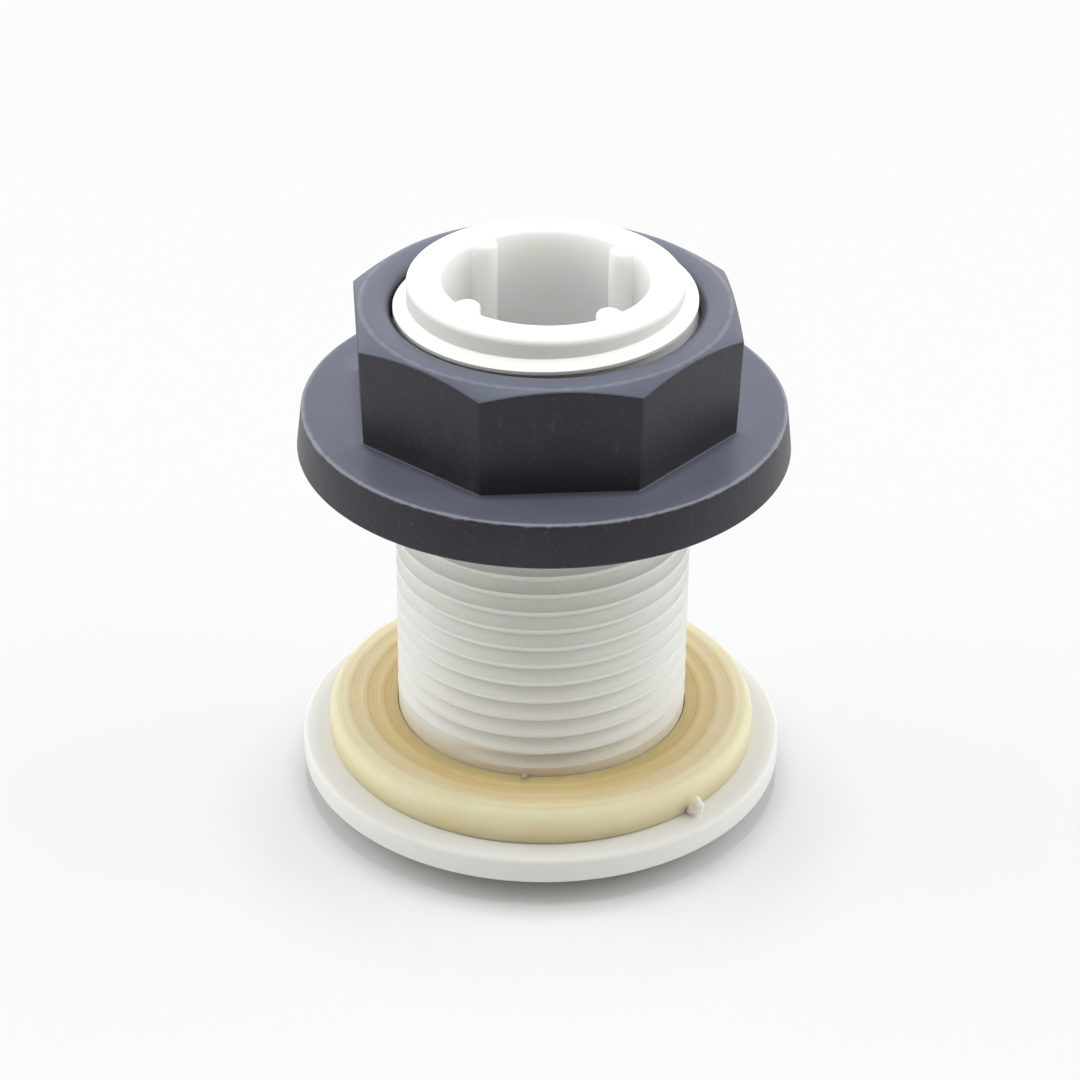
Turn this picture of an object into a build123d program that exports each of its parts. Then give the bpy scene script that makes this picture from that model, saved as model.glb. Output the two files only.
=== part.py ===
"""Threaded drain fitting: a flanged plastic tube with a 3/4 inch pipe thread, its washer and its back nut.

The tube stands on the face of its flange, with the bore along +Z.
The origin is the centre of the face that it stands on.
"""
import os
from math import radians, tan

from build123d import *

# Thread, 3/4 inch pipe size, wound up from the back of the neck
THREAD_RADIUS = 13.22
THREAD_DEPTH = 1.162
THREAD_PITCH = 25.4 / 14
THREAD_FLANK = 27.5
THREAD_CREST = 0.3
THREAD_SINK = 0.25
THREAD_FIRST = 9.21
THREAD_ANGLE = 90.0

# Flange, with its domed face below
FLANGE_RADIUS = 22.0
RIM_LIFT = 2.2
RIM_HEIGHT = 2.4
RIM_EDGE = 0.4
REST_RADIUS = 13.0
FACE_SAGITTA = -0.35

# Tube, plain for a short way above the thread
BODY_LENGTH = 50.7
END_PLAIN = 1.55
END_EDGE = 0.6
BORE_RADIUS = 9.0
BORE_MOUTH = 0.5
NECK_FILLET = 0.4

# Ribs along the bore
RIB_COUNT = 4
RIB_WIDTH = 2.2
RIB_REACH = 1.6
RIB_ANGLE = 39.0
RIB_OVERLAP = 0.9

# Sealing washer
WASHER_RADIUS = 19.5
WASHER_THICKNESS = 3.0
WASHER_CLEARANCE = 0.33
WASHER_TOP_EDGE = 0.9
WASHER_LOW_EDGE = 0.3
BEAD_COUNT = 3
BEAD_WIDTH = 0.7
BEAD_HEIGHT = 0.2

# Back nut, drawn where it stands on the thread, a little below the tube's end
NUT_DROP = 2.4
NUT_FLANGE_STEP = 0.2
NUT_FLANGE_THICKNESS = 4.0
NUT_FLANGE_TAPER = 0.4
NUT_FLANGE_EDGE = 0.25
NUT_SIDES = 8
NUT_CORNER_RADIUS = 17.45
NUT_HEIGHT = 9.9
NUT_DRAFT = 2.0
NUT_ANGLE = 27.3
NUT_TOP_RADIUS = 16.1
NUT_CHAMFER = 30.0
NUT_CLEARANCE = 0.25
NUT_COUNTERSINK = 0.6

ROOT_RADIUS = THREAD_RADIUS - THREAD_DEPTH
FLANGE_TOP = RIM_LIFT + RIM_HEIGHT
THREAD_TURNS = int((BODY_LENGTH - END_PLAIN - THREAD_FIRST) / THREAD_PITCH)
WASHER_BORE = THREAD_RADIUS + WASHER_CLEARANCE
NUT_BORE = THREAD_RADIUS + NUT_CLEARANCE
NUT_FLANGE_RADIUS = FLANGE_RADIUS - NUT_FLANGE_STEP
NUT_TOP = BODY_LENGTH - NUT_DROP
NUT_FLANGE_TOP = NUT_TOP - NUT_HEIGHT
NUT_BASE = NUT_FLANGE_TOP - NUT_FLANGE_THICKNESS


def turned(outline):
    """A solid turned about Z from a closed outline drawn in X (radius) and Z (height)."""
    return revolve(Plane.XZ * make_face(outline), Axis.Z)


def body_blank():
    """Flange and tube at the thread's roots as one turned solid, bored through."""
    rest_inner = BORE_RADIUS + BORE_MOUTH
    rim_in = FLANGE_RADIUS - RIM_EDGE
    outline = [
        Line((rest_inner, 0), (REST_RADIUS, 0)),
        SagittaArc((REST_RADIUS, 0), (rim_in, RIM_LIFT), FACE_SAGITTA),
        JernArc((rim_in, RIM_LIFT), (1, 0), RIM_EDGE, 90),
        Line((FLANGE_RADIUS, RIM_LIFT + RIM_EDGE), (FLANGE_RADIUS, FLANGE_TOP - RIM_EDGE)),
        JernArc((FLANGE_RADIUS, FLANGE_TOP - RIM_EDGE), (0, 1), RIM_EDGE, 90),
        Line((rim_in, FLANGE_TOP), (ROOT_RADIUS + NECK_FILLET, FLANGE_TOP)),
        JernArc((ROOT_RADIUS + NECK_FILLET, FLANGE_TOP), (-1, 0), NECK_FILLET, -90),
        Line((ROOT_RADIUS, FLANGE_TOP + NECK_FILLET), (ROOT_RADIUS, BODY_LENGTH - END_EDGE)),
        JernArc((ROOT_RADIUS, BODY_LENGTH - END_EDGE), (0, 1), END_EDGE, 90),
        Line((ROOT_RADIUS - END_EDGE, BODY_LENGTH), (rest_inner, BODY_LENGTH)),
        JernArc((rest_inner, BODY_LENGTH), (-1, 0), BORE_MOUTH, 90),
        Line((BORE_RADIUS, BODY_LENGTH - BORE_MOUTH), (BORE_RADIUS, BORE_MOUTH)),
        JernArc((BORE_RADIUS, BORE_MOUTH), (0, -1), BORE_MOUTH, 90),
    ]
    return turned(outline)


def bore_ribs():
    """Round-nosed ribs spaced evenly round the bore, flush with its upper end."""
    nose = RIB_WIDTH / 2
    tip = BORE_RADIUS - RIB_REACH
    root = BORE_RADIUS + RIB_OVERLAP
    length = BODY_LENGTH - BORE_MOUTH
    section = Pos(tip + nose, 0) * Circle(nose)
    section += Pos((tip + nose + root) / 2, 0) * Rectangle(root - tip - nose, RIB_WIDTH)
    rib = Pos(0, 0, BORE_MOUTH) * extrude(section, length)
    return [Rot(0, 0, RIB_ANGLE + i * 360 / RIB_COUNT) * rib for i in range(RIB_COUNT)]


def thread_ridge():
    """The thread's helical ridge, sunk a little into the tube. Each turn has its own four faces."""
    inner = ROOT_RADIUS - THREAD_SINK
    crest = THREAD_CREST / 2
    foot = crest + (THREAD_DEPTH + THREAD_SINK) * tan(radians(THREAD_FLANK))
    section = ((inner, -foot), (THREAD_RADIUS, -crest), (THREAD_RADIUS, crest), (inner, foot))
    turns = []
    for turn in range(THREAD_TURNS):
        start = THREAD_FIRST + turn * THREAD_PITCH
        turns.append([Helix(THREAD_PITCH, THREAD_PITCH, r, center=(0, 0, start + z)) for r, z in section])
    faces = [Face(Wire.make_polygon([rail @ 0 for rail in turns[0]]))]
    for rails in turns:
        faces += [Face.make_surface_from_curves(a, b) for a, b in zip(rails, rails[1:] + rails[:1])]
    faces.append(Face(Wire.make_polygon([rail @ 1 for rail in turns[-1]])))
    return Rot(0, 0, THREAD_ANGLE) * Solid(Shell(faces))


def threaded_body():
    """The moulded tube: flange, neck, thread and ribbed bore in one piece."""
    return body_blank() + bore_ribs() + thread_ridge()


def sealing_washer():
    """The soft ring that lies on the flange round the neck, with raised beads on its upper face."""
    top = FLANGE_TOP + WASHER_THICKNESS
    bead_step = (WASHER_RADIUS - WASHER_BORE) / (BEAD_COUNT + 1)
    outline = [
        Line((WASHER_BORE, FLANGE_TOP), (WASHER_RADIUS - WASHER_LOW_EDGE, FLANGE_TOP)),
        JernArc((WASHER_RADIUS - WASHER_LOW_EDGE, FLANGE_TOP), (1, 0), WASHER_LOW_EDGE, 90),
        Line((WASHER_RADIUS, FLANGE_TOP + WASHER_LOW_EDGE), (WASHER_RADIUS, top - WASHER_TOP_EDGE)),
        JernArc((WASHER_RADIUS, top - WASHER_TOP_EDGE), (0, 1), WASHER_TOP_EDGE, 90),
    ]
    start = WASHER_RADIUS - WASHER_TOP_EDGE
    for i in range(BEAD_COUNT):
        centre = WASHER_RADIUS - (i + 1) * bead_step
        outer = centre + BEAD_WIDTH / 2
        inner = centre - BEAD_WIDTH / 2
        outline.append(Line((start, top), (outer, top)))
        outline.append(ThreePointArc((outer, top), (centre, top + BEAD_HEIGHT), (inner, top)))
        start = inner
    outline.append(Line((start, top), (WASHER_BORE, top)))
    outline.append(Line((WASHER_BORE, top), (WASHER_BORE, FLANGE_TOP)))
    return turned(outline)


def nut_flange():
    """The round flange under the nut, a little narrower at its top."""
    upper = NUT_FLANGE_RADIUS - NUT_FLANGE_TAPER
    outline = [
        Line((0, NUT_BASE), (NUT_FLANGE_RADIUS, NUT_BASE)),
        Line((NUT_FLANGE_RADIUS, NUT_BASE), (upper, NUT_FLANGE_TOP)),
        Line((upper, NUT_FLANGE_TOP), (0, NUT_FLANGE_TOP)),
        Line((0, NUT_FLANGE_TOP), (0, NUT_BASE)),
    ]
    blank = turned(outline)
    rim = blank.edges().filter_by(GeomType.CIRCLE)
    return fillet(rim, NUT_FLANGE_EDGE)


def nut_head():
    """The eight-sided grip, drawn out a little towards its top and bevelled by a cone."""
    sides = Rot(0, 0, NUT_ANGLE) * RegularPolygon(NUT_CORNER_RADIUS, NUT_SIDES)
    prism = extrude(Pos(0, 0, NUT_FLANGE_TOP) * sides, NUT_HEIGHT, taper=-NUT_DRAFT)
    spread = NUT_TOP_RADIUS + NUT_HEIGHT / tan(radians(NUT_CHAMFER))
    outline = Polyline(
        (0, NUT_FLANGE_TOP),
        (spread, NUT_FLANGE_TOP),
        (NUT_TOP_RADIUS, NUT_TOP),
        (0, NUT_TOP),
        close=True,
    )
    return prism & turned(outline)


def nut_bore():
    """The through hole, with a countersink at each end."""
    mouth = NUT_BORE + NUT_COUNTERSINK
    outline = Polyline(
        (0, NUT_BASE),
        (mouth, NUT_BASE),
        (NUT_BORE, NUT_BASE + NUT_COUNTERSINK),
        (NUT_BORE, NUT_TOP - NUT_COUNTERSINK),
        (mouth, NUT_TOP),
        (0, NUT_TOP),
        close=True,
    )
    return turned(outline)


def back_nut():
    """The flanged nut that clamps the wall against the washer."""
    return nut_flange() + nut_head() - nut_bore()


def main():
    os.makedirs("parts", exist_ok=True)
    for build in (threaded_body, sealing_washer, back_nut):
        export_step(build(), f"parts/{build.__name__}.step")


if __name__ == "__main__":
    main()
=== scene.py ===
"""Dresses a threaded drain fitting: its white threaded tube, amber washer and slate back nut."""
import math

import bmesh
import bpy
import numpy as np
from mathutils import Euler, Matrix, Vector


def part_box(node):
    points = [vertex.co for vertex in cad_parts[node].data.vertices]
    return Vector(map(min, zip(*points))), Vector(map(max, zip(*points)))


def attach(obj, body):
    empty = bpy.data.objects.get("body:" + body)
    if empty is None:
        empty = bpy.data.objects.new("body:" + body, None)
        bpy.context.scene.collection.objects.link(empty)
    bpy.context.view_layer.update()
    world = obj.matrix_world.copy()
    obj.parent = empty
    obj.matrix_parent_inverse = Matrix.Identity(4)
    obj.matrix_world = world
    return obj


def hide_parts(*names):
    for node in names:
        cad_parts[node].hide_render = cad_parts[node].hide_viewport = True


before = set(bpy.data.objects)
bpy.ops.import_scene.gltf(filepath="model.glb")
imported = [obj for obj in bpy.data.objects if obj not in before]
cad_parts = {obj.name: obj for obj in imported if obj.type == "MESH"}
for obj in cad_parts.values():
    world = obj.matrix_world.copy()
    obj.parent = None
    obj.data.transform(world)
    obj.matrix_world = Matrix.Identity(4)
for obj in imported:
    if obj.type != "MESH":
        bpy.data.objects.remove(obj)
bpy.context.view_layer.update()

bl_info = {
    "name": "Threaded drain fitting",
    "version": (1, 0, 0),
    "blender": (4, 5, 0),
    "location": "View3D > Sidebar > Fitting",
    "description": "Builds the dressed tube, washer and nut of a threaded drain fitting, and its studio",
    "category": "Object",
}

MM = 0.001
TUBE_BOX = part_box("threaded_body")
WASHER_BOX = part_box("sealing_washer")
NUT_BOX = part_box("back_nut")

# Fineness of the meshes
SEGMENTS = 192
RIB_COUNT = 4
ROWS_PER_TURN = 12
DOME_ROWS = 13
MOUTH_ROWS = 6
BORE_ROWS = 9
BEAD_POINTS = 9
GRIP_ROWS = 8
BEVEL_PASSES = 6
SHARP_ANGLE = math.radians(50)
WELD = 1e-6

# The thread's flanks and its ends, in shares of a turn, and how soft its crest is
ROW_SLACK = 0.01
FLANK_FOOT = 5 / 12
FLANK_CREST = 1 / 12
RIDGE_FADE = 0.05
GROOVE_FADE = 0.12
CREST_SOFTNESS = 0.15

# The washer's flash: distance from the axis and height in mm, sway in degrees, half its thickness in mm
FLASH = (
    (19.3, 4.95, 0.0, 0.3),
    (20.1, 4.95, 0.2, 0.33),
    (20.5, 5.15, 0.9, 0.36),
    (20.6, 5.7, 1.3, 0.36),
    (20.35, 6.25, 0.9, 0.31),
    (20.15, 6.5, 0.7, 0.2),
    (20.1, 6.56, 0.65, 0.08),
)
# The nib at its hole: out from the hole, up from the upper face and half its thickness in mm
NIB = ((0.55, -0.5, 0.32), (0.2, -0.08, 0.32), (0.0, 0.1, 0.26), (-0.08, 0.16, 0.1))
# A direction that neither of them follows
ASIDE = (0.3, 0.5, 0.8)

# Steps of the nut's softened edges, inwards and up, in shares of the soft edge
BEVEL_STEPS = ((0.25, -0.3), (0.15, -0.9))
FOOT_STEPS = ((-0.3, 0.3), (-1.0, 0.0))
SHOULDER_RISE = 0.8
# Its other rows: a share of the grip's height, a band inside the rim and the rim's lean in degrees
FIRST_GRIP_ROW = 0.06
RIM_BAND = 1.6 * MM
RIM_LEAN = 6

# Where the finishes, their painted light and their painted shade change, as radii, heights and widths
# The bore's paler colour, which is painted light, fades in inside this radius
BORE_SKIN = 10.0 * MM
BORE_FADE = 0.8 * MM
# The warm cast on the neck beside the washer is painted shade and amber reflection
NECK_SHADE_TOP = 9.9 * MM
NECK_SHADE_FADE = 2.2 * MM
NECK_SHADE_OUTER = 14.5 * MM
NECK_SHADE_INNER = 13.5 * MM
CURL_FADE = 0.2 * MM
RING_SPACING = 0.4 * MM

# Painted highlights along the nut's edges: their reach in roundings of the flange, how patchy they are
# and how strong
HIGHLIGHT_REACH = 1.3
HIGHLIGHT_PATCHES = 3
HIGHLIGHT_STRENGTH = 0.6
TOP_HIGHLIGHT = 0.5

# The studio, with its lengths in metres, and the sensor's width in mm
WHITE = (1.0, 1.0, 1.0, 1.0)
FLOOR_REACH = 2.0
FLOOR_WHITE = 0.97
FLOOR_MOTTLE = 0.995
TOP_LAMP = Vector((0, 0.04, 1.8))
TOP_LAMP_SIZE = 0.18
SIDE_LAMP = Vector((0.6, 0.1, 0.5))
SIDE_LAMP_SIZE = 0.6
SIDE_LAMP_AIM = Vector((0, 0, 0.02))
SENSOR_WIDTH = 36
CLIP_START = 0.01


# Settings that a user would change

def length(name, description, millimetres):
    """A distance property, given in millimetres and held in metres."""
    return bpy.props.FloatProperty(
        name=name, description=description, default=millimetres * MM,
        precision=5, subtype="DISTANCE", unit="LENGTH",
    )


def turn(name, description, degrees):
    """An angle property, given in degrees and held in radians."""
    return bpy.props.FloatProperty(
        name=name, description=description, default=math.radians(degrees),
        subtype="ANGLE", unit="ROTATION",
    )


def number(name, description, default, **kind):
    """A number property, with a unit or subtype where one fits."""
    return bpy.props.FloatProperty(name=name, description=description, default=default, **kind)


def whole(name, description, default):
    """A whole number property."""
    return bpy.props.IntProperty(name=name, description=description, default=default)


def colour(name, description, rgb):
    """A linear colour property."""
    return bpy.props.FloatVectorProperty(
        name=name, description=description, default=rgb, size=3, min=0, max=1, subtype="COLOR",
    )


class TubeSizes(bpy.types.PropertyGroup):
    """Sizes of the flanged tube."""
    flange_radius: length("Flange radius", "Outer radius of the flange", TUBE_BOX[1].x / MM)
    height: length("Height", "Overall height of the tube", TUBE_BOX[1].z / MM)
    rim_lift: length("Rim lift", "Height of the rim's lower edge", 2.2)
    rim_height: length("Rim height", "Height of the rim's side", 2.4)
    rim_edge: length("Rim edge", "Rounding of the rim", 0.4)
    rest_radius: length("Rest radius", "Radius of the flat that the flange stands on", 13.0)
    face_crown: length("Face crown", "Bulge of the flange's domed face", 0.35)
    neck_radius: length("Neck radius", "Radius of the plain neck below the thread", 13.18)
    neck_fillet: length("Neck fillet", "Rounding between flange and neck", 0.4)
    end_edge: length("End edge", "Rounding of the tube's upper end", 0.6)
    bore_radius: length("Bore radius", "Radius of the water way", 9.0)
    land_radius: length("Land radius", "Radius of the flat round the bore's mouth", 10.3)
    mouth: length("Mouth", "Rounding of the bore's ends", 0.45)
    rib_width: length("Rib width", "Width of a rib in the bore", 2.2)
    rib_reach: length("Rib reach", "How far a rib stands into the bore", 1.6)
    rib_angle: turn("Rib angle", "Direction of the first rib", 39)
    thread_radius: length("Thread radius", "Radius over the crests", 13.22)
    thread_depth: length("Thread depth", "Depth of the thread", 1.162)
    thread_pitch: length("Thread pitch", "Rise of the thread in one turn", 25.4 / 14)
    thread_first: length("Thread start", "Height at which the thread begins", 9.21)
    thread_begin: turn("Thread start angle", "Direction in which the thread begins", 90)
    thread_turns: number("Turns", "Turns of the thread", 22.0)
    groove_first: length("Groove start", "Height at which the groove runs out into the neck", 9.0)
    thread_low: length("Thread zone base", "Height where the neck meets the threaded zone", 7.0)
    thread_high: length("Thread zone top", "Height where the threaded zone meets the plain end", 50.05)


class WasherSizes(bpy.types.PropertyGroup):
    """Sizes of the sealing washer."""
    outer: length("Radius", "Outer radius", WASHER_BOX[1].x / MM)
    bore: length("Hole radius", "Radius of the hole", 13.25)
    base: length("Base", "Height of the lower face", WASHER_BOX[0].z / MM)
    thickness: length("Thickness", "From the lower face to the upper face", 3.0)
    top_edge: length("Upper edge", "Rounding of the upper outer edge", 0.9)
    low_edge: length("Lower edge", "Rounding of the lower outer edge", 0.3)
    inner_edge: length("Inner edge", "Rounding of the hole's upper edge", 0.12)
    bead_count: whole("Beads", "Raised beads on the upper face", 3)
    bead_width: length("Bead width", "Width of a bead", 0.75)
    bead_height: length("Bead height", "Height of a bead", 0.11)
    flash_angle: turn("Flash angle", "Direction of the flash on the outer edge", -47.5)
    nib_angle: turn("Nib angle", "Direction of the nib at the hole", -96)


class NutSizes(bpy.types.PropertyGroup):
    """Sizes of the back nut."""
    flange_radius: length("Flange radius", "Radius of the flange's lower edge", 21.8)
    flange_taper: length("Flange taper", "How much narrower the flange's top is", 0.4)
    flange_thickness: length("Flange thickness", "Thickness of the flange", 4.0)
    flange_edge: length("Flange edge", "Rounding of the flange", 0.25)
    base: length("Base", "Height of the lower face", NUT_BOX[0].z / MM)
    top: length("Top", "Height of the upper face", NUT_BOX[1].z / MM)
    sides: whole("Sides", "Flat sides of the grip", 8)
    corner_radius: length("Corner radius", "Radius over the corners at the flange", 17.45)
    corner_edge: length("Corner edge", "Rounding of the upright corners", 0.3)
    draft: turn("Draft", "Lean of the flat sides", 2)
    angle: turn("Angle", "Direction of the first corner", 27.3)
    top_radius: length("Top radius", "Radius where the bevel begins", 16.1)
    bevel: turn("Bevel", "Slope of the conical bevel", 30)
    soft_edge: length("Soft edge", "Rounding of the bevel's edges", 0.14)
    bore: length("Bore", "Radius of the thread's roots", 13.47)
    thread_tip: length("Thread tip", "Radius of the inner thread's tips", 12.4)
    countersink: length("Countersink", "Size of the bore's bevelled mouths", 0.6)


class FinishColours(bpy.types.PropertyGroup):
    """Colours of the three mouldings, as linear values."""
    white: colour("White", "Lit colour of the tube", (0.91, 0.913, 0.885))
    white_shade: colour("White shade", "Duller patches on the tube", (0.88, 0.882, 0.85))
    # Painted light: the bore's wall is paler than the rest of the tube
    white_lit_bore: colour("White bore", "Colour of the bore's wall", (0.98, 0.985, 0.955))
    # Painted shade and amber reflection on the neck beside the washer
    white_neck_shade: colour("White stain", "Warm cast on the neck beside the washer", (0.68, 0.56, 0.38))
    # The washer's deeper amber towards the hole and the foot is painted shade
    amber: colour("Amber", "Deep colour of the washer", (0.76, 0.575, 0.26))
    cream: colour("Cream", "Pale colour of the washer", (0.94, 0.875, 0.64))
    slate: colour("Slate", "Main colour of the nut", (0.026, 0.0195, 0.021))
    slate_pale: colour("Pale slate", "Scuffed and speckled slate", (0.075, 0.070, 0.088))
    # Painted light: the nut's upward faces are paler and bluer
    slate_lit_top: colour("Slate bloom", "Dusty blue of the nut's upward faces", (0.098, 0.104, 0.138))
    # Painted highlight along the nut's flange edge and bevel edge
    slate_edge_highlight: colour("Worn slate", "Rubbed edge of the nut's flange", (0.30, 0.31, 0.35))
    slate_gloss: colour("Slate gloss", "Tint of the light that glances off the nut", (0.70, 0.80, 1.0))


class StudioSettings(bpy.types.PropertyGroup):
    """Camera, lamps and floor."""
    lens: number("Lens", "Focal length in mm", 111.1, unit="CAMERA")
    distance: length("Distance", "From the camera to its aim", 300)
    elevation: turn("Elevation", "Height of the camera above the horizon", 30.99)
    roll: turn("Roll", "Lean of the camera", 0.6)
    aim_across: length("Aim across", "Sideways place of the aim", -0.27)
    aim_height: length("Aim height", "Height of the aim", 24.2)
    surround: number("Surround", "Strength of the light all round", 0.6)
    surround_colour: colour("Surround colour", "Cool light from all but the front", (0.97, 0.985, 1.0))
    sides: number("Sides", "Extra light from both sides", 1.2)
    gloss: number("Gloss", "Brightness of the back in reflections", 1.8)
    front: number("Front", "Strength of the light from the front", 0.09)
    front_colour: colour("Front colour", "Warm light from the front", (1.0, 0.85, 0.55))
    top_light: number("Top lamp", "Power of the lamp overhead", 12.8, unit="POWER")
    side_light: number("Side lamps", "Power of the lamps at both sides", 1.6, unit="POWER")
    floor_colour: colour("Floor", "Colour of the floor", (0.72, 0.72, 0.72))
    shadow_start: length("Shadow start", "Distance at which the floor begins to whiten", 21.5)
    shadow_end: length("Shadow end", "Distance at which the floor is at its whitest", 32)
    shadow_shift: length("Shadow shift", "How far the shadow's middle lies to the front", 8)
    whiteness: number("Whiteness", "Share of plain white in the far floor", 0.7, subtype="FACTOR")


# Sums on node sockets

class Flow:
    """A socket of a node tree that can be used in sums, and the one way to add a node to that tree."""

    def __init__(self, tree, socket=None):
        self.tree = tree
        self.socket = socket

    def add(self, kind, settings=None, inputs=None, output=0):
        """Adds a node of that type: first its settings, then the values or links of its sockets."""
        node = self.tree.nodes.new(kind)
        for name, value in (settings or {}).items():
            setattr(node, name, value)
        for key, value in (inputs or {}).items():
            if isinstance(value, Flow):
                self.tree.links.new(value.socket, node.inputs[key])
            else:
                node.inputs[key].default_value = value
        return Flow(self.tree, node.outputs[output] if len(node.outputs) else None)

    def pick(self, name):
        """Another output of the same node."""
        return Flow(self.tree, self.socket.node.outputs[name])

    def math(self, operation, *others):
        """A Math node on this value."""
        return self.add("ShaderNodeMath", {"operation": operation}, dict(enumerate((self, *others))))

    def clamp(self):
        """This value held to the range from 0 to 1."""
        return self.math("MAXIMUM", 0.0).math("MINIMUM", 1.0)

    def between(self, start, end):
        """How far this value has come from a start to an end, as a share from 0 to 1."""
        return ((self - start) / (end - start)).clamp()

    def smooth(self):
        """A soft step of a value from 0 to 1."""
        return self * self * (3 - 2 * self)

    def __add__(self, other):
        return self.math("ADD", other)

    def __sub__(self, other):
        return self.math("SUBTRACT", other)

    def __rsub__(self, other):
        return self.add("ShaderNodeMath", {"operation": "SUBTRACT"}, {0: other, 1: self})

    def __mul__(self, other):
        return self.math("MULTIPLY", other)

    def __truediv__(self, other):
        return self.math("DIVIDE", other)

    __radd__ = __add__
    __rmul__ = __mul__


def split(vector):
    """The parts of a vector, to be picked as X, Y and Z."""
    return vector.add("ShaderNodeSeparateXYZ", inputs={0: vector})


def blend(factor, low, high):
    """A colour between two others."""
    inputs = {0: factor, 6: opaque(low), 7: opaque(high)}
    return factor.add("ShaderNodeMix", {"data_type": "RGBA"}, inputs, output=2)


def opaque(value):
    """A colour for a socket: a plain one gets its alpha."""
    return value if isinstance(value, Flow) else (*value, 1.0)


# Mesh tools

def around(first_angle, count=SEGMENTS):
    """Evenly spaced directions, from the first one on."""
    return first_angle + np.arange(count) * 2 * math.pi / count


def circle(radius, height, angles):
    """One row of points on a level circle."""
    return level(np.column_stack([radius * np.cos(angles), radius * np.sin(angles)]), height)


def level(outline, height):
    """One row of points on a level outline."""
    return np.column_stack([outline, np.full(len(outline), height)])


def arc(centre, radius, start, end, steps=6):
    """Points of a profile's round corner, from one angle in degrees to another."""
    angles = np.radians(np.linspace(start, end, steps + 1))
    return [(centre[0] + radius * math.cos(a), centre[1] + radius * math.sin(a)) for a in angles]


def skin(rows, closed=False):
    """Vertices and faces of a surface over rows of equally many points, each row a closed loop."""
    count = len(rows[0])
    points = np.concatenate(rows)
    faces = []
    pairs = len(rows) if closed else len(rows) - 1
    for row in range(pairs):
        here = row * count
        there = (row + 1) % len(rows) * count
        for i in range(count):
            j = (i + 1) % count
            faces.append((here + i, here + j, there + j, there + i))
    return points, faces


def strand(path, radii, sides=12):
    """Vertices and faces of a closed round strand along a few points, with a radius at each."""
    path = np.array(path)
    rows = []
    for i, (centre, radius) in enumerate(zip(path, radii)):
        along = path[min(i + 1, len(path) - 1)] - path[max(i - 1, 0)]
        along = along / np.linalg.norm(along)
        across = np.cross(along, ASIDE)
        across = across / np.linalg.norm(across)
        other = np.cross(along, across)
        ring = circle(radius, 0, around(0, sides))
        rows.append(centre + ring @ np.array([across, other, along]))
    points, faces = skin(rows)
    last = len(points) - sides
    faces.append(tuple(range(sides))[::-1])
    faces.append(tuple(range(last, last + sides)))
    return points, faces


def piece(name, surfaces, material, replaced, body):
    """Welds surfaces into one object that stands for a solid of the frame and moves with its body."""
    joined = bmesh.new()
    for surface in surfaces:
        part = surface
        if not isinstance(surface, bpy.types.Mesh):
            part = bpy.data.meshes.new(name + "_surface")
            part.from_pydata([tuple(p) for p in surface[0]], [], surface[1])
        joined.from_mesh(part)
        bpy.data.meshes.remove(part)
    bmesh.ops.remove_doubles(joined, verts=joined.verts, dist=WELD)
    bmesh.ops.dissolve_degenerate(joined, edges=joined.edges, dist=WELD)
    bmesh.ops.recalc_face_normals(joined, faces=joined.faces)
    mesh = bpy.data.meshes.new(name)
    joined.to_mesh(mesh)
    joined.free()
    mesh.materials.clear()
    mesh.materials.append(material)
    mesh.shade_smooth()
    mesh.set_sharp_from_angle(angle=SHARP_ANGLE)
    item = bpy.data.objects.new(name, mesh)
    bpy.context.scene.collection.objects.link(item)
    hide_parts(replaced)
    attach(item, body)
    return item


# The thread, wound by a node tree

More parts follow.
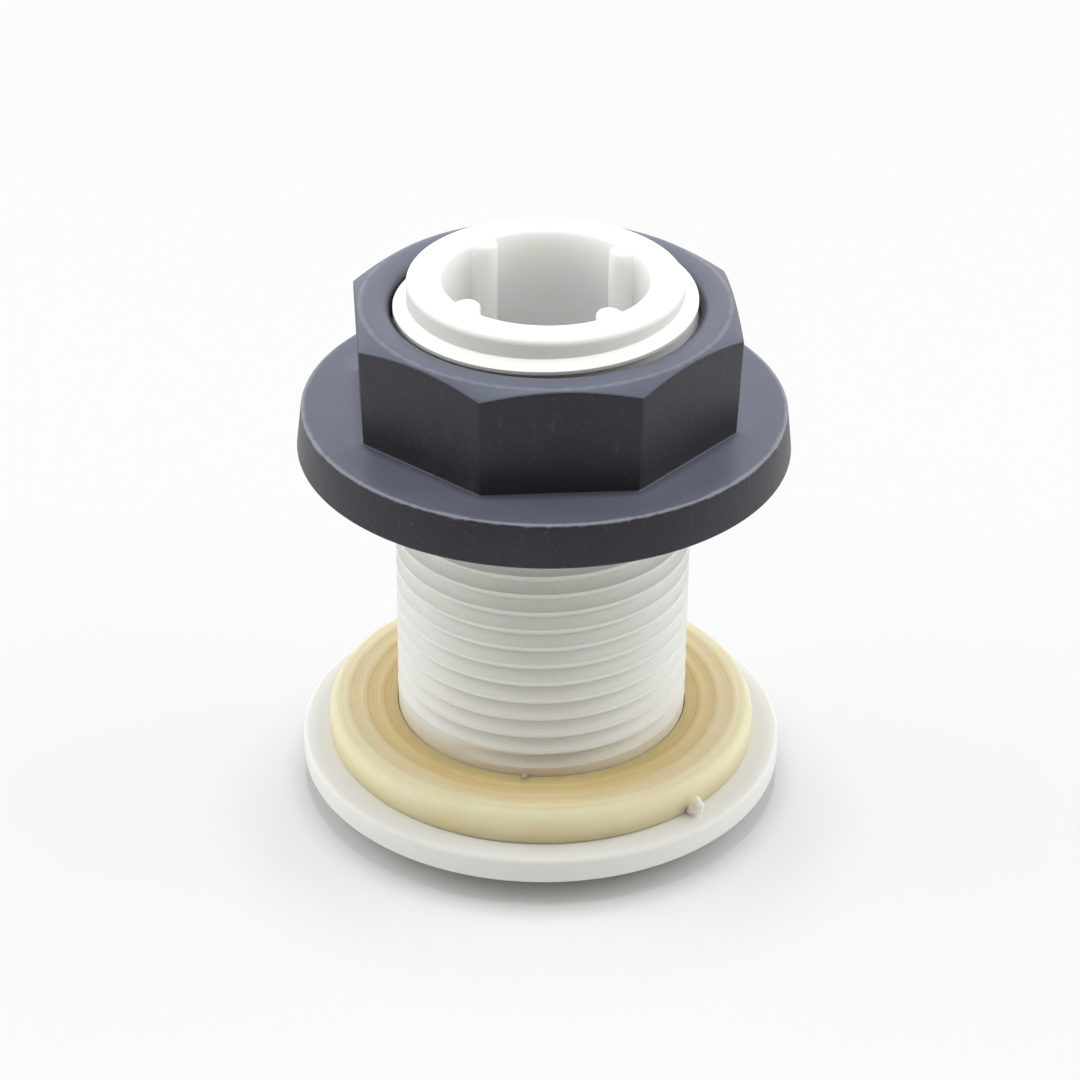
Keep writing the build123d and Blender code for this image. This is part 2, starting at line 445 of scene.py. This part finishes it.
def thread_tree():
    """A helical ridge on a round wall: rows of the grid follow the helix, so its crest stays crisp."""
    name = "Helical thread"
    if name in bpy.data.node_groups:
        return bpy.data.node_groups[name]
    tree = bpy.data.node_groups.new(name, "GeometryNodeTree")
    numbers = (
        "Wall radius", "Crest radius", "Neck radius", "Pitch", "Base height", "Low height",
        "High height", "First angle", "Begin turn", "End turn", "Fade", "Groove turn", "Run-out",
    )
    for label in numbers:
        tree.interface.new_socket(label, in_out="INPUT", socket_type="NodeSocketFloat")
    for label in ("Segments", "Rows", "Rows per turn"):
        tree.interface.new_socket(label, in_out="INPUT", socket_type="NodeSocketInt")
    tree.interface.new_socket("Material", in_out="INPUT", socket_type="NodeSocketMaterial")
    tree.interface.new_socket("Geometry", in_out="OUTPUT", socket_type="NodeSocketGeometry")

    flow = Flow(tree)
    given = flow.add("NodeGroupInput").pick
    grid = flow.add("GeometryNodeMeshGrid", inputs={
        "Size X": 1.0, "Size Y": 1.0,
        "Vertices X": given("Segments") + 1, "Vertices Y": given("Rows") + 1,
    })
    place = split(flow.add("GeometryNodeInputPosition"))
    share = place.pick("X") + 0.5
    along = (place.pick("Y") + 0.5) * given("Rows") / given("Rows per turn")
    nearest = along.math("ROUND")
    flank = (along - nearest).math("ABSOLUTE").between(FLANK_FOOT, FLANK_CREST)
    ridge = flank * (1 - CREST_SOFTNESS) + flank.smooth() * CREST_SOFTNESS
    wound = nearest + share
    present = ((wound - given("Begin turn")) / given("Fade")).clamp()
    present = present * ((given("End turn") - wound) / given("Fade")).clamp()
    radius = given("Wall radius") + (given("Crest radius") - given("Wall radius")) * ridge * present
    groove = (along + ROW_SLACK).math("FLOOR") + share
    filled = 1 - ((groove - given("Groove turn")) / given("Run-out")).clamp().smooth()
    radius = radius + (given("Neck radius") - radius) * filled
    height = given("Base height") + given("Pitch") * (along + share)
    height = height.math("MAXIMUM", given("Low height")).math("MINIMUM", given("High height"))
    angle = given("First angle") + share * (2 * math.pi)
    spot = flow.add("ShaderNodeCombineXYZ", inputs={
        0: radius * angle.math("COSINE"), 1: radius * angle.math("SINE"), 2: height,
    })
    wall = flow.add("GeometryNodeSetPosition", inputs={"Geometry": grid, "Position": spot})
    wall = flow.add("GeometryNodeMergeByDistance", inputs={"Geometry": wall, "Distance": WELD})
    wall = flow.add("GeometryNodeRealizeInstances", inputs={0: wall})
    wall = flow.add("GeometryNodeSetMaterial", inputs={"Geometry": wall, "Material": given("Material")})
    flow.add("NodeGroupOutput", inputs={"Geometry": wall})
    return tree


def wind_thread(sizes, material, wall, crest, shift, low, high, first_angle, begin, end, groove):
    """The mesh of a thread between two heights, shifted by a share of a turn against the tube's own.

    Its ridge begins and ends, and its groove begins, at heights along the helix.
    A groove that begins below the low height doesn't run out.
    """
    pitch = sizes.thread_pitch
    turns = shift + (first_angle - sizes.thread_begin) / (2 * math.pi)
    crest_height = sizes.thread_first + pitch * turns
    base = crest_height - pitch * math.ceil((crest_height - low) / pitch + 1)
    return grow(thread_tree(), {
        "Wall radius": wall,
        "Crest radius": crest,
        "Neck radius": sizes.neck_radius,
        "Pitch": pitch,
        "Base height": base,
        "Low height": low,
        "High height": high,
        "First angle": first_angle,
        "Begin turn": (begin - base) / pitch,
        "End turn": (end - base) / pitch,
        "Fade": RIDGE_FADE,
        "Groove turn": (groove - base) / pitch - 0.5,
        "Run-out": GROOVE_FADE,
        "Segments": SEGMENTS,
        "Rows": ROWS_PER_TURN * math.ceil((high - base) / pitch),
        "Rows per turn": ROWS_PER_TURN,
        "Material": material,
    })


def grow(tree, values):
    """The plain mesh that a node tree makes from these inputs."""
    host = bpy.data.objects.new("host", bpy.data.meshes.new("host"))
    bpy.context.scene.collection.objects.link(host)
    modifier = host.modifiers.new("nodes", "NODES")
    modifier.node_group = tree
    for item in tree.interface.items_tree:
        if item.in_out == "INPUT":
            modifier[item.identifier] = values[item.name]
    evaluated = host.evaluated_get(bpy.context.evaluated_depsgraph_get())
    mesh = bpy.data.meshes.new_from_object(evaluated)
    host.modifiers.remove(modifier)
    bpy.data.objects.remove(host)
    return mesh


# Finishes

def finish(name):
    """A new material: its node flow, object coordinates and surface shader."""
    material = bpy.data.materials.new(name)
    material.use_nodes = True
    flow = Flow(material.node_tree)
    where = flow.add("ShaderNodeTexCoord", output="Object")
    return material, flow, where, material.node_tree.nodes["Principled BSDF"]


def noise(where, scale, detail=3.0, roughness=0.55):
    """A cloudy value from 0 to 1. The scale is in clouds to the metre."""
    inputs = {"Vector": where, "Scale": scale, "Detail": detail, "Roughness": roughness}
    return where.add("ShaderNodeTexNoise", {}, inputs)


def from_axis(place):
    """The distance of a place from the upright axis."""
    return (place.pick("X") * place.pick("X") + place.pick("Y") * place.pick("Y")).math("SQRT")


def bump(height, strength, depth):
    """Bends the surface's direction by a height. The depth is in metres."""
    return height.add("ShaderNodeBump", {}, {"Height": height, "Strength": strength, "Distance": depth})


def dress(shader, links, constants):
    """Feeds a surface shader: links for what varies, constants on its own sockets."""
    for key, value in links.items():
        value.tree.links.new(value.socket, shader.inputs[key])
    for key, value in constants.items():
        shader.inputs[key].default_value = value


def mix_surface(flow, factor, first, second):
    """Shows one surface shader or another by a factor."""
    inputs = {0: factor, 1: Flow(flow.tree, first.outputs[0]), 2: Flow(flow.tree, second.outputs[0])}
    either = flow.add("ShaderNodeMixShader", inputs=inputs)
    flow.tree.links.new(either.socket, flow.tree.nodes["Material Output"].inputs["Surface"])


def white_plastic(colours):
    """Satin white moulding with a fine grain and a bore that light sinks into; the bore's paler colour is
    painted light, and the warm cast on the neck beside the washer is painted shade and amber reflection.
    """
    material, flow, where, outside = finish("white_plastic")
    inside = flow.tree.nodes.new("ShaderNodeBsdfPrincipled")
    clouds = noise(where, scale=160)
    grain = noise(where, scale=2600, detail=2.0)
    place = split(where)
    radius = from_axis(place)
    on_neck = radius.between(NECK_SHADE_OUTER, NECK_SHADE_INNER)
    # Painted shade and amber reflection on the neck just above the washer
    neck_shade = place.pick("Z").between(NECK_SHADE_TOP, NECK_SHADE_TOP - NECK_SHADE_FADE).smooth() * on_neck
    plain = blend(clouds.between(0.45, 0.9045), colours.white, colours.white_shade)
    links = {
        "Roughness": 0.4 + clouds * 0.14,
        "Normal": bump(grain + clouds * 2, strength=0.12, depth=0.04 * MM),
    }
    for shader, weight, depth in ((outside, 0.12, 0.5 * MM), (inside, 1.0, 4.0 * MM)):
        dress(shader, links, {
            "Subsurface Weight": weight,
            "Subsurface Radius": (1.0, 0.97, 0.85),
            "Subsurface Scale": depth,
            "Specular IOR Level": 0.15,
        })
    dress(outside, {"Base Color": blend(neck_shade * (0.35 + clouds * 0.3), plain, colours.white_neck_shade)}, {})
    # Painted light: the bore's wall takes its own paler colour, blended in below by radius
    dress(inside, {}, {"Base Color": opaque(colours.white_lit_bore)})
    wall = radius.between(BORE_SKIN, BORE_SKIN - BORE_FADE).smooth()
    mix_surface(flow, wall, outside, inside)
    return material


def amber_rubber(colours, washer):
    """Milky amber rubber with fine rings from its mould, paler at its outer edge and its top: the deeper
    amber towards the hole and the foot is painted shade.
    """
    material, _, where, shader = finish("amber_rubber")
    place = split(where)
    radius = from_axis(place)
    lit_outwards = radius.between(washer.bore, washer.outer).between(0.3, 1.0)
    lit_upwards = place.pick("Z").between(washer.base, washer.base + washer.thickness)
    clouds = noise(where, scale=220)
    # Painted shade: deeper amber towards the hole and the foot, with random mottling from the clouds
    pale = (lit_outwards * (0.15 + lit_upwards * 0.55) + 0.18 + (clouds - 0.5) * 0.3).clamp()
    curl = radius.between(washer.outer, washer.outer + CURL_FADE)
    rubber = blend(pale.smooth(), colours.amber, colours.cream)
    rings = (radius * (2 * math.pi / RING_SPACING)).math("SINE")
    links = {
        "Base Color": blend(curl, rubber, colours.white),
        "Roughness": 0.42 + clouds * 0.16,
        "Normal": bump(rings * 0.3 + clouds * 2, strength=0.25, depth=0.08 * MM),
    }
    dress(shader, links, {
        "Subsurface Weight": 0.7,
        "Subsurface Radius": (1.0, 0.66, 0.34),
        "Subsurface Scale": 3.0 * MM,
        "Specular IOR Level": 0.4,
    })
    return material


def slate_plastic(colours, nut):
    """Matt slate moulding with fine speckle and pale scuffs, painted light on its upward faces and
    painted highlights along its edges.
    """
    material, flow, where, shader = finish("slate_plastic")
    clouds = noise(where, scale=130)
    speckle = noise(where, scale=3200, detail=2.0, roughness=0.7)
    stretched = flow.add("ShaderNodeMapping", inputs={"Vector": where, "Scale": (1.0, 1.0, 0.25)})
    scuffs = noise(stretched, scale=900, detail=5.0, roughness=0.75)
    dots = speckle.between(0.63, 0.7411)
    marks = scuffs.between(0.58, 0.7467)
    pale = (dots * 0.8 + marks * 0.4 + (clouds - 0.42) * 0.6).clamp()
    facing = split(flow.add("ShaderNodeTexCoord", output="Normal"))
    # Painted light: faces that point upwards turn paler and bluer
    upward = facing.pick("Z").between(0.35, 0.85).smooth() * (0.75 + clouds * 0.4)
    place = split(where)

    def painted_edge_light(radius, height):
        """Patchy painted highlight along the round edge at this radius and height."""
        beside = (from_axis(place) - radius).math("ABSOLUTE")
        above = (place.pick("Z") - height).math("ABSOLUTE")
        reach = HIGHLIGHT_REACH - (beside + above) / nut.flange_edge
        return (reach + (scuffs - 0.5) * HIGHLIGHT_PATCHES).clamp() * HIGHLIGHT_STRENGTH

    # Painted highlights along the flange's upper edge and, weaker, the bevel's edge
    rim_radius = nut.flange_radius - nut.flange_taper - nut.flange_edge / 2
    rim_highlight = painted_edge_light(rim_radius, nut.base + nut.flange_thickness)
    highlit = rim_highlight.math("MAXIMUM", painted_edge_light(nut.top_radius, nut.top) * TOP_HIGHLIGHT)
    skin_colour = blend(pale, colours.slate, colours.slate_pale)
    top_lit_slate = blend(upward.clamp(), skin_colour, colours.slate_lit_top)
    links = {
        "Base Color": blend(highlit, top_lit_slate, colours.slate_edge_highlight),
        "Roughness": 0.38 + clouds * 0.12 + dots * 0.1,
        "Normal": bump(speckle + scuffs * 1.4 + clouds * 3, strength=0.3, depth=0.06 * MM),
    }
    dress(shader, links, {"Specular IOR Level": 0.45, "Specular Tint": opaque(colours.slate_gloss)})
    return material


# The tube

def bore_halves(sizes, inset):
    """Half a rib with its stretch of wall, and the points on the bore's land that pair with it."""
    nose = sizes.rib_width / 2 - inset
    wall = sizes.bore_radius + inset
    centre = sizes.bore_radius - sizes.rib_reach + sizes.rib_width / 2
    share = SEGMENTS // (2 * RIB_COUNT)
    bend = share // 3
    foot = math.asin(nose / wall)
    walls = np.linspace(foot, math.pi / RIB_COUNT, share - bend)
    noses = np.linspace(0, math.pi / 2, bend + 1)
    half = [(centre - nose * math.cos(a), nose * math.sin(a)) for a in noses]
    half += [(wall * math.cos(a), wall * math.sin(a)) for a in walls]
    directions = [*(noses * foot / 2), *walls]
    land = [(sizes.land_radius * math.cos(a), sizes.land_radius * math.sin(a)) for a in directions]
    return np.array(half), np.array(land)


def all_round(half, count, first_angle):
    """Mirrors half a repeat and sets it out round the axis as one closed outline."""
    mirrored = half[1:-1][::-1] * (1, -1)
    points = []
    for i in range(count):
        for step, run in ((i, half), (i + 1, mirrored)):
            a = first_angle + step * 2 * math.pi / count
            points.append(run @ np.array([[math.cos(a), math.sin(a)], [-math.sin(a), math.cos(a)]]))
    return np.concatenate(points)


def bore_outline(sizes, inset):
    """The ribbed bore seen from above. An inset moves it into the wall and makes the ribs slimmer."""
    return all_round(bore_halves(sizes, inset)[0], RIB_COUNT, sizes.rib_angle)


def land_outline(sizes):
    """The circle round the bore's mouth, with its points spaced like the bore's."""
    return all_round(bore_halves(sizes, sizes.mouth)[1], RIB_COUNT, sizes.rib_angle)


def tube_profile(sizes):
    """Radius and height from the flat that it stands on, round the flange, to the neck."""
    rim_in = sizes.flange_radius - sizes.rim_edge
    flange_top = sizes.rim_lift + sizes.rim_height
    neck = sizes.neck_radius
    profile = [((sizes.land_radius + sizes.rest_radius) / 2, 0), (sizes.rest_radius, 0)]
    chord = Vector((rim_in - sizes.rest_radius, sizes.rim_lift))
    normal = Vector((chord.y, -chord.x)).normalized()
    for share in np.linspace(0, 1, DOME_ROWS)[1:]:
        step = chord * share + normal * (4 * sizes.face_crown * share * (1 - share))
        profile.append((sizes.rest_radius + step.x, step.y))
    profile += arc((rim_in, sizes.rim_lift + sizes.rim_edge), sizes.rim_edge, -90, 0)[1:]
    profile += arc((rim_in, flange_top - sizes.rim_edge), sizes.rim_edge, 0, 90)
    profile.append(((rim_in + neck) / 2, flange_top))
    fillet = sizes.neck_fillet
    profile += arc((neck + fillet, flange_top + fillet), fillet, 270, 180)
    profile.append((neck, sizes.thread_low))
    return profile


def tube_rows(sizes):
    """Two runs of rows: bore, flange and neck below the thread, and the end above it."""
    angles = around(sizes.rib_angle)
    root = sizes.thread_radius - sizes.thread_depth
    bends = np.linspace(0, math.pi / 2, MOUTH_ROWS)
    insets = [sizes.mouth * (1 - math.cos(a)) for a in bends]
    drops = [sizes.mouth * (1 - math.sin(a)) for a in bends]
    lower = [level(bore_outline(sizes, inset), drop) for inset, drop in zip(insets, drops)]
    lower.append(level(land_outline(sizes), 0))
    lower += [circle(r, z, angles) for r, z in tube_profile(sizes)]
    end = [(root, sizes.thread_high)]
    end += arc((root - sizes.end_edge, sizes.height - sizes.end_edge), sizes.end_edge, 0, 90)
    upper = [circle(r, z, angles) for r, z in end]
    upper.append(level(land_outline(sizes), sizes.height))
    upper += [level(bore_outline(sizes, inset), sizes.height - drop)
              for inset, drop in zip(insets[::-1], drops[::-1])]
    walls = np.linspace(sizes.height - sizes.mouth, sizes.mouth, BORE_ROWS)[1:]
    upper += [level(bore_outline(sizes, 0), height) for height in walls]
    return lower, upper


class FITTING_OT_tube(bpy.types.Operator):
    """Make the flanged tube with its helical thread and ribbed bore"""
    bl_idname = "fitting.tube"
    bl_label = "Threaded tube"

    def execute(self, context):
        sizes = context.scene.fitting_tube
        material = white_plastic(context.scene.fitting_colours)
        thread = wind_thread(
            sizes, material, shift=0,
            wall=sizes.thread_radius - sizes.thread_depth, crest=sizes.thread_radius,
            low=sizes.thread_low, high=sizes.thread_high, first_angle=sizes.rib_angle,
            begin=sizes.groove_first - sizes.thread_pitch / 2,
            end=sizes.thread_first + sizes.thread_turns * sizes.thread_pitch,
            groove=sizes.groove_first,
        )
        lower, upper = tube_rows(sizes)
        surfaces = [skin(lower), skin(upper), thread]
        piece("threaded_tube", surfaces, material, "threaded_body", "fitting")
        return {"FINISHED"}


# The washer

def washer_profile(sizes):
    """Radius and height once round the washer's section."""
    face = sizes.base + sizes.thickness
    profile = arc((sizes.outer - sizes.low_edge, sizes.base + sizes.low_edge), sizes.low_edge, -90, 0)
    profile += arc((sizes.outer - sizes.top_edge, face - sizes.top_edge), sizes.top_edge, 0, 90, steps=8)
    step = (sizes.outer - sizes.bore) / (sizes.bead_count + 1)
    for i in range(sizes.bead_count):
        middle = sizes.outer - (i + 1) * step
        for a in np.linspace(0, math.pi, BEAD_POINTS):
            radius = middle + sizes.bead_width / 2 * math.cos(a)
            profile.append((radius, face + sizes.bead_height * math.sin(a) ** 2))
    inner = sizes.inner_edge
    profile += arc((sizes.bore + inner, face - inner), inner, 90, 180, steps=4)
    profile.append((sizes.bore, sizes.base))
    return profile


def washer_flash(sizes):
    """A curled shred of flash on the outer edge and a small nib at the hole."""
    face = sizes.base + sizes.thickness
    shred = [
        circle(radius * MM, height * MM, sizes.flash_angle + np.radians([sway]))[0]
        for radius, height, sway, _ in FLASH
    ]
    nib = [
        circle(sizes.bore + out * MM, face + up * MM, np.array([sizes.nib_angle]))[0]
        for out, up, _ in NIB
    ]
    shred_radii = [point[-1] * MM for point in FLASH]
    nib_radii = [point[-1] * MM for point in NIB]
    return [strand(shred, shred_radii), strand(nib, nib_radii)]


class FITTING_OT_washer(bpy.types.Operator):
    """Make the sealing washer with its beads and moulding flash"""
    bl_idname = "fitting.washer"
    bl_label = "Sealing washer"

    def execute(self, context):
        sizes = context.scene.fitting_washer
        material = amber_rubber(context.scene.fitting_colours, sizes)
        rows = [circle(r, z, around(0)) for r, z in washer_profile(sizes)]
        surfaces = [skin(rows, closed=True)] + washer_flash(sizes)
        piece("amber_washer", surfaces, material, "sealing_washer", "fitting")
        return {"FINISHED"}


# The nut

def nut_outline(sizes, apothem, edge):
    """The flat-sided grip seen from above, with rounded corners, from the first corner on."""
    half_side = math.pi / sizes.sides
    share = SEGMENTS // (2 * sizes.sides)
    bend = share // 4
    centre = (apothem - edge) / math.cos(half_side)
    bends = np.linspace(0, half_side, bend + 1)
    half = [(centre + edge * math.cos(a), edge * math.sin(a)) for a in bends]
    tangent = np.array(half[-1])
    middle = apothem * np.array([math.cos(half_side), math.sin(half_side)])
    half += [tuple(tangent + (middle - tangent) * s) for s in np.linspace(0, 1, share - bend + 1)[1:]]
    return all_round(np.array(half), sizes.sides, sizes.angle)


def nut_grip_rows(sizes):
    """Rows from the bevel's edge down the flat sides to the flange."""
    flange_top = sizes.base + sizes.flange_thickness
    apothem = sizes.corner_radius * math.cos(math.pi / sizes.sides)
    lean = math.tan(sizes.draft)
    slope = math.tan(sizes.bevel)
    soft = sizes.soft_edge
    foot = nut_outline(sizes, apothem, sizes.corner_edge)
    reach = np.linalg.norm(foot, axis=1)

    def spread(height):
        """How much wider the grip is at a height than at the flange."""
        return 1 + (height - flange_top) * lean / apothem

    def inset(share):
        """The foot's outline, moved inwards by a share of the soft edge."""
        return foot * (1 - soft * share / reach)[:, None]

    edge = np.full(len(foot), sizes.top)
    for _ in range(BEVEL_PASSES):
        edge = sizes.top - np.maximum(reach * spread(edge) - sizes.top_radius, 0) * slope
    rows = []
    for inwards, up in ((1.0, slope * SHOULDER_RISE), *BEVEL_STEPS):
        rows.append(np.column_stack([inset(inwards) * spread(edge)[:, None], edge + soft * up]))
    for share in np.linspace(FIRST_GRIP_ROW, 1, GRIP_ROWS):
        height = edge + (flange_top + soft - edge) * share
        rows.append(np.column_stack([foot * spread(height)[:, None], height]))
    rows += [level(inset(inwards), flange_top + soft * up) for inwards, up in FOOT_STEPS]
    return rows


def nut_rows(sizes):
    """All rows of the nut's outside, from the upper to the lower end of its threaded bore."""
    angles = around(sizes.angle)
    soft = sizes.soft_edge
    mouth = sizes.bore + sizes.countersink
    flange_top = sizes.base + sizes.flange_thickness
    upper = sizes.flange_radius - sizes.flange_taper
    edge = sizes.flange_edge
    slope = math.tan(sizes.bevel)
    head = [
        (sizes.bore, sizes.top - sizes.countersink),
        (mouth - soft, sizes.top - soft),
        (mouth + soft, sizes.top),
        (sizes.top_radius - soft, sizes.top),
        (sizes.top_radius + soft, sizes.top - soft * slope),
    ]
    flange = [(upper - RIM_BAND, flange_top)]
    flange += arc((upper - edge, flange_top - edge), edge, 90, RIM_LEAN)
    flange += arc((sizes.flange_radius - edge, sizes.base + edge), edge, RIM_LEAN, -90)
    flange += [
        (mouth + soft, sizes.base),
        (mouth - soft, sizes.base + soft),
        (sizes.bore, sizes.base + sizes.countersink),
    ]
    rows = [circle(r, z, angles) for r, z in head]
    rows += nut_grip_rows(sizes)
    rows += [circle(r, z, angles) for r, z in flange]
    return rows


class FITTING_OT_nut(bpy.types.Operator):
    """Make the flanged eight-sided nut with its inner thread"""
    bl_idname = "fitting.nut"
    bl_label = "Back nut"

    def execute(self, context):
        sizes = context.scene.fitting_nut
        thread_sizes = context.scene.fitting_tube
        material = slate_plastic(context.scene.fitting_colours, sizes)
        low = sizes.base + sizes.countersink
        high = sizes.top - sizes.countersink
        half_turn = thread_sizes.thread_pitch / 2
        thread = wind_thread(
            thread_sizes, material, shift=0.5, wall=sizes.bore, crest=sizes.thread_tip,
            low=low, high=high, first_angle=sizes.angle,
            begin=low + half_turn, end=high - half_turn, groove=0,
        )
        surfaces = [skin(nut_rows(sizes)), thread]
        piece("slate_nut", surfaces, material, "back_nut", "nut")
        return {"FINISHED"}


# The studio

def floor_finish(settings):
    """Pale matt floor. The camera sees it whiten with the distance from the fitting's shadow."""
    material, flow, where, shader = finish("pale_floor")
    duller = [part * FLOOR_MOTTLE for part in settings.floor_colour]
    base = blend(noise(where, scale=3), duller, settings.floor_colour)
    dress(shader, {"Base Color": base}, {"Roughness": 0.9, "Specular IOR Level": 0.0})
    shift = (0, settings.shadow_shift, 0)
    shifted = flow.add("ShaderNodeMapping", inputs={"Vector": where, "Location": shift})
    reach = flow.add("ShaderNodeVectorMath", {"operation": "LENGTH"}, {0: shifted}, output="Value")
    far = reach.between(settings.shadow_start, settings.shadow_end).smooth()
    seen = flow.add("ShaderNodeLightPath", output="Is Camera Ray")
    white = flow.add("ShaderNodeEmission", inputs={"Color": WHITE, "Strength": FLOOR_WHITE})
    mix_surface(flow, far * seen * settings.whiteness, shader, white.socket.node)
    return material


def light_world(settings):
    """Soft cool light from all round, weaker and warmer from the front, and a white backdrop."""
    world = bpy.data.worlds.new("studio")
    bpy.context.scene.world = world
    world.use_nodes = True
    tree = world.node_tree
    tree.nodes.clear()
    flow = Flow(tree)
    way = split(flow.add("ShaderNodeTexCoord", output="Generated"))
    low = way.pick("Z").between(0.75, 0.35).smooth()
    front = way.pick("Y").between(-0.06, -0.6482).smooth() * low
    back = way.pick("Y").between(0.1, 0.725).smooth()
    glossy = flow.add("ShaderNodeLightPath", output="Is Glossy Ray")
    surround = settings.surround * (1 + settings.sides * way.pick("X") * way.pick("X"))
    surround = surround + glossy * back * (settings.gloss - surround)
    strength = surround + (settings.front - surround) * front
    tint = blend(front, settings.surround_colour, settings.front_colour)
    light = flow.add("ShaderNodeBackground", inputs={"Color": tint, "Strength": strength})
    white = flow.add("ShaderNodeBackground", inputs={"Color": WHITE, "Strength": 1.0})
    seen = flow.add("ShaderNodeLightPath", output="Is Camera Ray")
    either = flow.add("ShaderNodeMixShader", inputs={0: seen, 1: light, 2: white})
    flow.add("ShaderNodeOutputWorld", inputs={"Surface": either})


def add_lamp(name, place, aim, size, power):
    """A square soft lamp that faces a point."""
    lamp = bpy.data.lights.new(name, "AREA")
    lamp.size = size
    lamp.energy = power
    item = bpy.data.objects.new(name, lamp)
    item.location = place
    item.rotation_euler = (aim - place).to_track_quat("-Z", "Y").to_euler()
    bpy.context.scene.collection.objects.link(item)


def add_camera(settings):
    """The camera at the height and distance from which the fitting is seen."""
    camera = bpy.data.cameras.new("camera")
    camera.lens = settings.lens
    camera.sensor_width = SENSOR_WIDTH
    camera.clip_start = CLIP_START
    item = bpy.data.objects.new("camera", camera)
    aim = Vector((settings.aim_across, 0, settings.aim_height))
    back = Vector((0, -math.cos(settings.elevation), math.sin(settings.elevation)))
    item.location = aim + back * settings.distance
    facing = (-back).to_track_quat("-Z", "Y") @ Euler((0, 0, settings.roll)).to_quaternion()
    item.rotation_euler = facing.to_euler()
    bpy.context.scene.collection.objects.link(item)
    bpy.context.scene.camera = item


class FITTING_OT_studio(bpy.types.Operator):
    """Make the floor, lamps, surround and camera"""
    bl_idname = "fitting.studio"
    bl_label = "Studio"

    def execute(self, context):
        settings = context.scene.fitting_studio
        context.scene.view_settings.view_transform = "Standard"
        floor = bpy.data.meshes.new("floor")
        corners = [(x * FLOOR_REACH, y * FLOOR_REACH, 0) for x, y in ((-1, -1), (1, -1), (1, 1), (-1, 1))]
        floor.from_pydata(corners, [], [(0, 1, 2, 3)])
        floor.materials.append(floor_finish(settings))
        item = bpy.data.objects.new("floor", floor)
        context.scene.collection.objects.link(item)
        light_world(settings)
        add_lamp("top_lamp", TOP_LAMP, Vector((0, 0, 0)), TOP_LAMP_SIZE, settings.top_light)
        for name, side in (("left_lamp", -1), ("right_lamp", 1)):
            place = Vector((side * SIDE_LAMP.x, SIDE_LAMP.y, SIDE_LAMP.z))
            add_lamp(name, place, SIDE_LAMP_AIM, SIDE_LAMP_SIZE, settings.side_light)
        add_camera(settings)
        return {"FINISHED"}


class FITTING_PT_panel(bpy.types.Panel):
    """Lists the pieces, their sizes and their colours"""
    bl_idname = "FITTING_PT_panel"
    bl_label = "Threaded drain fitting"
    bl_space_type = "VIEW_3D"
    bl_region_type = "UI"
    bl_category = "Fitting"

    def draw(self, context):
        for operator, group in OPERATORS:
            box = self.layout.box()
            box.operator(operator.bl_idname)
            self.list_settings(box, getattr(context.scene, group))
        box = self.layout.box()
        box.label(text="Colours")
        self.list_settings(box, context.scene.fitting_colours)

    def list_settings(self, box, settings):
        """Shows every setting of a group in a box."""
        for name in settings.__annotations__:
            box.prop(settings, name)


OPERATORS = (
    (FITTING_OT_tube, "fitting_tube"),
    (FITTING_OT_washer, "fitting_washer"),
    (FITTING_OT_nut, "fitting_nut"),
    (FITTING_OT_studio, "fitting_studio"),
)
GROUPS = {
    "fitting_tube": TubeSizes,
    "fitting_washer": WasherSizes,
    "fitting_nut": NutSizes,
    "fitting_colours": FinishColours,
    "fitting_studio": StudioSettings,
}


def register():
    """Adds the settings, the operators and the panel."""
    for name, group in GROUPS.items():
        bpy.utils.register_class(group)
        setattr(bpy.types.Scene, name, bpy.props.PointerProperty(type=group))
    for operator, _ in OPERATORS:
        bpy.utils.register_class(operator)
    bpy.utils.register_class(FITTING_PT_panel)


def unregister():
    """Takes the panel, the operators and the settings away again."""
    bpy.utils.unregister_class(FITTING_PT_panel)
    for operator, _ in OPERATORS:
        bpy.utils.unregister_class(operator)
    for name, group in GROUPS.items():
        delattr(bpy.types.Scene, name)
        bpy.utils.unregister_class(group)


def main():
    register()
    bpy.ops.fitting.tube()
    bpy.ops.fitting.washer()
    bpy.ops.fitting.nut()
    bpy.ops.fitting.studio()


if __name__ == "__main__":
    main()
